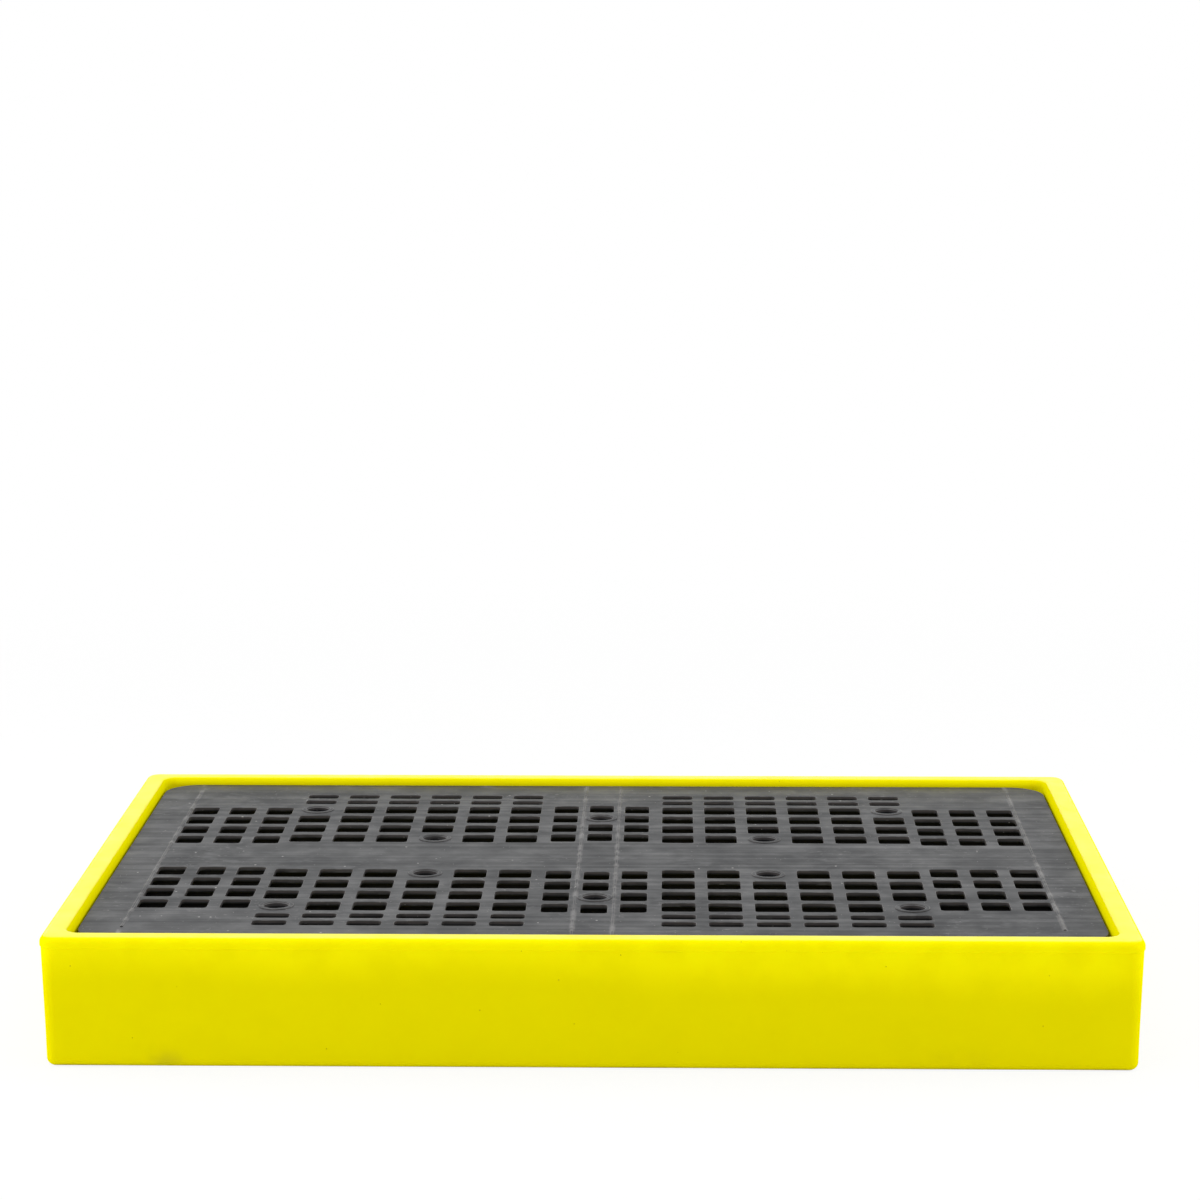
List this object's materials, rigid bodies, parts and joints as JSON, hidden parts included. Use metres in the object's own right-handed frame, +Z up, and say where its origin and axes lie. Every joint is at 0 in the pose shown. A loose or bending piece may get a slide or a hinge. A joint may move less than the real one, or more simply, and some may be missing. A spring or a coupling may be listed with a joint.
{
  "type": "spill containment pallet",
  "caption": "Low rectangular double-walled plastic sump with a slotted lift-out deck on tubular columns, for drums that stand side by side.",
  "frame": {"origin": "centre of the base, on the floor", "axes": "+X along the long side, +Y from front to back, +Z up through the deck"},
  "size_m": [1.2656, 0.8556, 0.1542],
  "materials": {
    "sump_yellow": "smooth rotomoulded polyethylene, soft sheen",
    "deck_black": "satin moulded polyethylene, lightly scuffed",
    "column_black": "satin extruded tube",
    "plug_black": "matte moulded plug"
  },
  "bodies": {
    "sump": {"sump": "sump_yellow", "vent_plug": "plug_black"},
    "deck": {"deck": "deck_black", "support_column_01": "column_black", "support_column_02": "column_black", "support_column_03": "column_black", "support_column_04": "column_black", "support_column_05": "column_black", "support_column_06": "column_black", "support_column_07": "column_black", "support_column_08": "column_black", "support_column_09": "column_black", "support_column_10": "column_black"}
  },
  "joints": [
    {"name": "deck_lift", "type": "slide", "parent": "sump", "child": "deck", "axis": [0, 0, 1], "range_m": [0, 0.16]}
  ]
}
